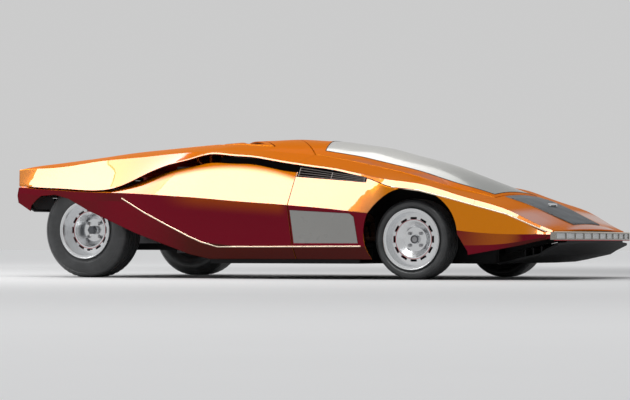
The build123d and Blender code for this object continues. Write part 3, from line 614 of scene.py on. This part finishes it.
def make_wheel_trim(name):
    """Hub cap, nuts, the red lines round the disc and the bright flange."""
    axle, side = wheel_side(name)
    x, z = axle.x, axle.radius
    out = FACE_Y - RIM_SETBACK
    disc = out - axle.dish
    hub = disc - axle.sink

    def trim(kind, bm, material):
        piece(f"{kind}_{name}", bm, material, f"wheel_{name}")

    def ring(bm, profile, start, segments, radius=0.0):
        turned(bm, [(start + reach, radius + r) for reach, r in profile], x, z, side, segments)

    bm = bmesh.new()
    ring(bm, HUB_CAP, hub, CAP_SEGMENTS)
    if axle is AXLES["rear"]:
        start, size, height = AXLE_NUT
        hex_nut(bm, x, hub + start, z, side, size, height)
    trim("hub_cap", bm, "cap_metal")
    if axle is AXLES["front"]:
        bm = bmesh.new()
        ring(bm, CAP_BUTTON, hub, BUTTON_SEGMENTS)
        trim("cap_button", bm, "nut_steel")
    bm = bmesh.new()
    start, size, height = LUG_NUT
    for place in range(LUGS):
        angle = 2 * math.pi * (place + 0.5) / LUGS
        across, rise = axle.lug_circle * math.sin(angle), axle.lug_circle * math.cos(angle)
        hex_nut(bm, x + across, hub + start, z + rise, side, size, height)
    trim("lug_nuts", bm, "nut_steel")
    bm = bmesh.new()
    for radius, rise in RED_LINES:
        ring(bm, RED_LINE, disc + rise, LINE_SEGMENTS, radius)
    trim("red_lines", bm, "red_stripe")
    bm = bmesh.new()
    ring(bm, RIM_LIP, out, LIP_SEGMENTS, RIM_LIP_R)
    trim("rim_lip", bm, "rim_alloy")


# ---------------------------------------------------------------- body trim
CLEAR = 1.2                       # where the rays that are cast on the body start, beside it or over it
CREASE = [(-0.975, 0.487), (-0.813, 0.400), (-0.665, 0.330), (-0.504, 0.257), (-0.409, 0.220),
          (-0.300, 0.1915), (0.0, 0.1915), (0.30, 0.1925), (0.640, 0.194)]                            # x, z
CREASE_R = 0.0042
FENDER_LIP = [(0.834, 0.864, 0.538), (1.000, 0.837, 0.516), (1.176, 0.791, 0.468), (1.300, 0.757, 0.432),
              (1.484, 0.706, 0.379), (1.700, 0.631, 0.279)]
FENDER_LIP_R = 0.0048
FENDER_LEAN = 0.3
GLASS_EDGE = [(1.265, -0.341), (0.189, -0.413), (0.055, 0.0), (0.189, 0.413), (1.265, 0.341), (1.265, -0.341)]
SEAL_R = 0.0025


def make_crease_highlights():
    """Cream strips along the flank's lower crease: a painted highlight where the crease catches the light."""
    line = spaced([(x, 0, z) for x, z in CREASE])
    for side, hand in SIDES:
        bm = bmesh.new()
        trees = surface_of(f"flank_rear_{hand}", f"flank_front_{hand}", "side_panes")
        starts = [(place.x, side * CLEAR, place.z) for place in line]
        laid_moulding(bm, trees, starts, (0, -side, 0), CREASE_R)
        piece(f"crease_line_{hand}", bm, "crease_line")


def make_fender_highlights():
    """Cream rolled strip along each front fender's lip: a painted highlight on the lip's edge."""
    for side, hand in SIDES:
        line = spaced([(x, side * y, z) for x, y, z in FENDER_LIP])
        outward = Vector((0, side, FENDER_LEAN)).normalized()
        bm = bmesh.new()
        path = [(place, heading(line, i).normalized().cross(outward), outward)
                for i, place in enumerate(line)]
        swept(bm, path, half_round(FENDER_LIP_R))
        piece(f"fender_highlight_{hand}", bm, "crease_line")


def make_glass_trim():
    """Thin rubber seal round the windscreen."""
    line = [(place.x, place.y, CLEAR) for place in spaced([(x, y, 0) for x, y in GLASS_EDGE])]
    bm = bmesh.new()
    laid_moulding(bm, surface_of("hatch_frame", "windscreen"), line, (0, 0, -1), SEAL_R)
    piece("windscreen_seal", bm, "black_trim", "hatch")


MAT_BACK_X, MAT_FRONT_X = 1.312, 1.714
MAT_BACK_HALF, MAT_FRONT_HALF = 0.300, 0.224
MAT_ROWS, MAT_RIBS = 26, 44
MAT_RIB_HEIGHT, MAT_SKIN = 0.0022, 0.0004
MAT_INSET = 0.998
MAT_SHARP_ANGLE = 20


def make_nose_mat():
    """Ribbed rubber mat, laid on the nose over the plain mat."""
    trees = surface_of("nose_mat", "nose_panel")
    bm = bmesh.new()
    rows = []
    for i in range(MAT_ROWS):
        t = i / (MAT_ROWS - 1)
        x = MAT_BACK_X + t * (MAT_FRONT_X - MAT_BACK_X)
        half = (MAT_BACK_HALF + t * (MAT_FRONT_HALF - MAT_BACK_HALF)) * MAT_INSET
        across = [half * (j / MAT_RIBS - 1) for j in range(MAT_RIBS * 2 + 1)]
        found = [hit(trees, (x, y, CLEAR), (0, 0, -1)) for y in across]
        lowest = min(row[0].z for row in found if row)
        heights = [row[0].z if row else lowest for row in found]
        lifts = [MAT_RIB_HEIGHT if j % 2 else MAT_SKIN for j in range(len(across))]
        rows.append([bm.verts.new((x, y, z + lift)) for y, z, lift in zip(across, heights, lifts)])
    for a, b in zip(rows, rows[1:]):
        for j in range(len(a) - 1):
            bm.faces.new((a[j], a[j + 1], b[j + 1], b[j]))
    piece("nose_mat_ribs", bm, "mat_rubber", sharp=MAT_SHARP_ANGLE)


LATCH_X, LATCH_HALF = 1.50, 0.055
LATCH_HEIGHT, LATCH_ROOT, LATCH_BAR_DROP = 0.016, 0.001, 0.002
LATCH_POST_R, LATCH_BAR_R = 0.008, 0.0075
LATCH_OVERHANG = 0.012
BAR_POINTS = 10
BAR_DOME = ((0, 0.05), (0.3, 0.7), (1.0, 1.0))      # in from the end, in radii, and share of the radius


def rounded_bar(bm, start, end, radius, up):
    """Bar with domed ends between two points."""
    ahead = (end - start).normalized()
    side_axis = ahead.cross(up).normalized()
    stations = [(start + ahead * radius * inset, share) for inset, share in BAR_DOME]
    stations += [(end - ahead * radius * inset, share) for inset, share in reversed(BAR_DOME)]
    capped(bm, [circle(place, side_axis, up, radius * share, BAR_POINTS) for place, share in stations])


def make_latch():
    """Folding handle in the middle of the nose mat."""
    trees = surface_of("nose_mat")
    bm = bmesh.new()
    ends = []
    for y in (-LATCH_HALF, LATCH_HALF):
        foot = hit(trees, (LATCH_X, y, CLEAR), (0, 0, -1))[0]
        rounded_bar(bm, foot - UP * LATCH_ROOT, foot + UP * LATCH_HEIGHT, LATCH_POST_R, AHEAD)
        ends.append(foot + UP * (LATCH_HEIGHT - LATCH_BAR_DROP))
    rounded_bar(bm, ends[0] - LEFT * LATCH_OVERHANG, ends[1] + LEFT * LATCH_OVERHANG, LATCH_BAR_R, UP)
    piece("nose_latch", bm, "bright_metal")


NOSE_X, NOSE_BOW_R = 1.800, 5.400
# The top one is a cream strip, a painted highlight on the nose's top edge.
NOSE_LIPS = (("nose_lip_low", 0.2295, "red_stripe"), ("nose_top_highlight", 0.2775, "crease_line"))
LIP_HALF = 0.640
LIP_STEPS = 60
LIP_BACK, LIP_HALF_T = 0.004, 0.0022
LIP_SECTION = [(-0.008, -LIP_HALF_T), (0.0035, -LIP_HALF_T), (0.0046, 0.0), (0.0035, LIP_HALF_T),
               (-0.008, LIP_HALF_T)]


def make_nose_lip():
    """Thin painted lip under the lamp strip, and over it a cream strip that is a painted highlight on the
    nose's top edge.
    """
    for name, z, material in NOSE_LIPS:
        path = []
        for i in range(LIP_STEPS + 1):
            y = -LIP_HALF + 2 * LIP_HALF * i / LIP_STEPS
            x = NOSE_X - NOSE_BOW_R + math.sqrt(NOSE_BOW_R ** 2 - y ** 2) - LIP_BACK
            path.append(((x, y, z), Vector((1, y / NOSE_BOW_R, 0)).normalized(), UP))
        bm = bmesh.new()
        swept(bm, path, LIP_SECTION)
        piece(name, bm, material)


CORNER_BACK_X, CORNER_FRONT_X = 1.690, 1.7315
CORNER_BACK = [(0.6445, 0.262), (0.6310, 0.278), (0.600, 0.281), (0.600, 0.236), (0.6340, 0.236)]     # y, z
CORNER_FRONT = [(0.6405, 0.262), (0.6290, 0.2745), (0.600, 0.2755), (0.600, 0.236), (0.6340, 0.236)]


def make_nose_corners():
    """Painted fillers between the fenders and the ends of the lamp strip."""
    for side, hand in SIDES:
        bm = bmesh.new()
        capped(bm, [[(x, side * y, z) for y, z in ring] for x, ring in
                    ((CORNER_BACK_X, CORNER_BACK), (CORNER_FRONT_X, CORNER_FRONT))])
        piece(f"nose_corner_{hand}", bm, "body_paint")


TAIL_MESH_X = (-1.7495, -1.7480)
TAIL_MESH = [(-0.678, 0.502), (0.678, 0.502), (0.678, 0.638), (-0.678, 0.638)]                        # y, z


def make_tail_mesh():
    """Sheet of woven wire behind the tail grille's bars."""
    bm = bmesh.new()
    capped(bm, [[(x, y, z) for y, z in TAIL_MESH] for x in TAIL_MESH_X])
    piece("tail_mesh", bm, "wire_mesh")


TAIL_PLATE = [(-1.725, 0.425), (-1.575, 0.425), (-1.562, 0.470), (-1.590, 0.503), (-1.725, 0.503)]    # x, z
TAIL_PLATE_Y = (0.700, 0.702)     # inner and outer face


def make_tail_plates():
    """Dark closing plates between the tail's valance and the rear wheels."""
    bm = bmesh.new()
    for side, _ in SIDES:
        capped(bm, [[(x, side * y, z) for x, z in TAIL_PLATE] for y in TAIL_PLATE_Y])
    piece("tail_plates", bm, "black_trim")


LENS_RINGS = ((-1.7785, 1.0), (-1.7825, 0.95), (-1.7850, 0.7))      # x, share of the lens's size
LENS_ROWS_Z, LENS_ROW_Y, LENSES_ACROSS = (0.479, 0.648), (-0.700, 0.700), 42
LENS_COLUMNS_Y, LENS_COLUMN_Z, LENSES_UP = (-0.708, 0.708), (0.500, 0.628), 5
ROW_LENS, COLUMN_LENS = (0.0145, 0.0045), (0.0055, 0.0105)          # half sizes along Y and Z


def middles(low, high, count):
    """Middle points of equal shares of a length."""
    return [low + (high - low) * (i + 0.5) / count for i in range(count)]


def make_tail_lenses():
    """Row of small pressed lenses round the tail."""
    places = [(y, z, *ROW_LENS) for y in middles(*LENS_ROW_Y, LENSES_ACROSS) for z in LENS_ROWS_Z]
    places += [(y, z, *COLUMN_LENS) for z in middles(*LENS_COLUMN_Z, LENSES_UP) for y in LENS_COLUMNS_Y]
    bm = bmesh.new()
    for y, z, half_y, half_z in places:
        capped(bm, [[(x, y + half_y * scale * a, z + half_z * scale * b)
                     for a, b in ((-1, -1), (1, -1), (1, 1), (-1, 1))] for x, scale in LENS_RINGS])
    piece("tail_lenses", bm, "tail_glass")


# ---------------------------------------------------------------- cabin
SEAT_LINE = [(0.560, 0.214), (0.230, 0.200), (-0.240, 0.700)]       # front, hip and head on the seat's shell
SEAT_ROLLS = (4, 8)                                                 # rolls of the cushion and of the back
SEAT_Y = 0.262
SEAT_HALF = 0.196
ROLL_STEPS, ROLL_POINTS = 12, 16
ROLL_SQUARENESS = 0.72            # 1 gives a round section and less a squarer one
ROLL_SHARE = 0.49                 # half a roll's length along the seat, as a share of its pitch
ROLL_HALF_T, ROLL_LIFT = 0.024, 0.018
ROLL_END_LENGTH, ROLL_END_T = 0.80, 0.25            # shares that are left at a roll's ends
ROLL_CROWN = 6                    # the higher, the flatter the middle of a roll
PAD_SHARP_ANGLE = 80


def seat_roll(bm, start, end, middle_y):
    """One padded roll across the seat, between two points (x, z) of its outline."""
    ahead = Vector((end[0] - start[0], 0, end[1] - start[1]))
    length = ahead.length
    ahead.normalize()
    up = Vector((-ahead.z, 0, ahead.x))
    if up.z < 0:
        up = -up
    centre = Vector(((start[0] + end[0]) / 2, middle_y, (start[1] + end[1]) / 2))

    def squared(value):
        return math.copysign(abs(value) ** ROLL_SQUARENESS, value)

    rings = []
    for i in range(ROLL_STEPS + 1):
        t = -1 + 2 * i / ROLL_STEPS
        swell = math.sqrt(1 - abs(t) ** ROLL_CROWN)
        half_length = length * ROLL_SHARE * (ROLL_END_LENGTH + (1 - ROLL_END_LENGTH) * swell)
        half_t = ROLL_HALF_T * (ROLL_END_T + (1 - ROLL_END_T) * swell)
        middle = centre + LEFT * t * SEAT_HALF + up * ROLL_LIFT
        angles = [2 * math.pi * k / ROLL_POINTS for k in range(ROLL_POINTS)]
        rings.append([middle + ahead * squared(math.cos(a)) * half_length + up * squared(math.sin(a)) * half_t
                      for a in angles])
    capped(bm, rings)


def make_seat_pads():
    """Ribbed leather pads on both seat shells."""
    for side, hand in SIDES:
        bm = bmesh.new()
        for start, end, count in zip(SEAT_LINE, SEAT_LINE[1:], SEAT_ROLLS):
            seams = [tuple(a + (b - a) * i / count for a, b in zip(start, end)) for i in range(count + 1)]
            for low, high in zip(seams, seams[1:]):
                seat_roll(bm, low, high, side * SEAT_Y)
        pad = piece(f"seat_pad_{hand}", bm, "seat_leather", sharp=PAD_SHARP_ANGLE)


COLUMN_AXIS = Vector((-0.265, 0, 0.084)).normalized()
GRIP_R, GRIP_HALF_T = 0.150, 0.0098
GRIP_SEGMENTS, GRIP_POINTS, HUB_POINTS = 72, 14, 32
SPOKE_ANGLES = (90, 210, 330)
SPOKE_STATIONS = ((0.020, 1.25), (0.070, 0.9), (0.110, 0.9), (0.146, 1.3))      # radius, share of the width
SPOKE_HALF_W, SPOKE_HALF_T = 0.012, 0.002
SPOKE_SECTION = [(-SPOKE_HALF_W, -SPOKE_HALF_T), (SPOKE_HALF_W, -SPOKE_HALF_T), (SPOKE_HALF_W, SPOKE_HALF_T),
                 (-SPOKE_HALF_W, SPOKE_HALF_T)]
WHEEL_HUB = ((-0.010, 0.026), (0.0, 0.030), (0.008, 0.029), (0.014, 0.022), (0.015, 0.002))   # height, radius


def make_steering_wheel():
    """Leather grip on three flat spokes and a domed hub."""
    low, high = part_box("steering_wheel")
    centre = Vector([(a + b) / 2 for a, b in zip(low, high)])
    up = COLUMN_AXIS.cross(LEFT).normalized()
    bm = bmesh.new()
    rings = [circle(centre + out * GRIP_R, out, COLUMN_AXIS, GRIP_HALF_T, GRIP_POINTS)
             for out in circle(Vector(), LEFT, up, 1.0, GRIP_SEGMENTS)]
    add_rings(bm, rings, closed_path=True)
    piece("steering_wheel_grip", bm, "wheel_rim_leather", replaced=["steering_wheel"])
    bm = bmesh.new()
    for angle in map(math.radians, SPOKE_ANGLES):
        out = LEFT * math.cos(angle) + up * math.sin(angle)
        swept(bm, [(centre + out * r, COLUMN_AXIS.cross(out) * w, COLUMN_AXIS) for r, w in SPOKE_STATIONS],
              SPOKE_SECTION)
    capped(bm, [circle(centre + COLUMN_AXIS * height, LEFT, up, radius, HUB_POINTS)
                for height, radius in WHEEL_HUB])
    piece("steering_wheel_spokes", bm, "bright_metal")


# ---------------------------------------------------------------- stage
FLOOR_HALF = 60.0
FLOOR_GREYS = ((0.52, 0.52, 0.52), (0.54, 0.54, 0.54))
NEAR_FLOOR, FAR_FLOOR = 2.5, 9.5            # the floor turns into the backdrop between these distances
FAR_GLOW = (0.34, 0.34, 0.34)
SKY_LIGHT, SKY_POWER = (0.95, 0.97, 1.0), 0.45
BACKDROP = (0.60, 0.60, 0.60)
LAMPS = (                                   # name, place, aim, size, power
    ("overhead", (-1.2, -1.9, 4.2), (-1.2, -0.9, 0.4), (9.6, 1.8), 282),
    ("rear_box", (-4.3, 0.90, 4.2), (-4.3, 0.95, 0.4), (3.0, 3.8), 118),
    ("back_strip", (-3.0, 9.0, 8.8), (0, 0, 0.6), (7.0, 2.6), 42),
)


def seen_rays(tree):
    """1 where a surface is seen, directly, mirrored or through glass, and 0 where it just gives light."""
    path = add_node(tree, "ShaderNodeLightPath")
    camera, glossy, through = [Sock(tree, path.outputs[f"Is {kind} Ray"])
                               for kind in ("Camera", "Glossy", "Transmission")]
    return camera.math("MAXIMUM", glossy).math("MAXIMUM", through)


def make_floor():
    """Pale floor that turns into the backdrop far from the car."""
    s = Shader("pale_floor")
    x, y, _ = s.split(s.coords)
    away = s.ramp((x * x + y * y).math("SQRT"), NEAR_FLOOR, FAR_FLOOR) * seen_rays(s.tree)
    s.finish(base_color=s.mix(s.noise(FLOOR_SHADES), *FLOOR_GREYS), roughness=0.75,
             emission_color=s.mix(away, (0.0, 0.0, 0.0), FAR_GLOW), emission_strength=1.0)
    bm = bmesh.new()
    bmesh.ops.create_grid(bm, x_segments=2, y_segments=2, size=FLOOR_HALF)
    mesh = bpy.data.meshes.new("floor")
    bm.to_mesh(mesh)
    bm.free()
    mesh.materials.append(s.material)
    floor = place_object("floor", mesh)


def area_light(name, place, aim, size, power):
    data = bpy.data.lights.new(name, "AREA")
    data.shape = "RECTANGLE"
    data.size, data.size_y = size
    data.energy = power
    lamp = place_object(name, data)
    lamp.location = place
    lamp.rotation_euler = (Vector(aim) - Vector(place)).to_track_quat("-Z", "Y").to_euler()


def make_lights():
    """A plain sky that lights the car, a grey one that is seen, and the lamps."""
    world = bpy.data.worlds.new("studio")
    world.use_nodes = True
    tree = world.node_tree
    tree.nodes.clear()
    lit = outlet(tree, "ShaderNodeBackground", (SKY_LIGHT, SKY_POWER))
    seen = outlet(tree, "ShaderNodeBackground", (BACKDROP, 1.0))
    sky = outlet(tree, "ShaderNodeMixShader", (seen_rays(tree), lit, seen))
    add_node(tree, "ShaderNodeOutputWorld", {"Surface": sky})
    bpy.context.scene.world = world
    for lamp in LAMPS:
        area_light(*lamp)


dress_cad_nodes()
for wheel in ("front_right", "front_left", "rear_right", "rear_left"):
    make_tyre(wheel)
    make_wheel_trim(wheel)
make_crease_highlights()
make_fender_highlights()
make_glass_trim()
make_nose_mat()
make_latch()
make_nose_lip()
make_nose_corners()
make_tail_mesh()
make_tail_plates()
make_tail_lenses()
make_seat_pads()
make_steering_wheel()
make_camera()
make_floor()
make_lights()
bpy.context.scene.view_settings.view_transform = "Standard"
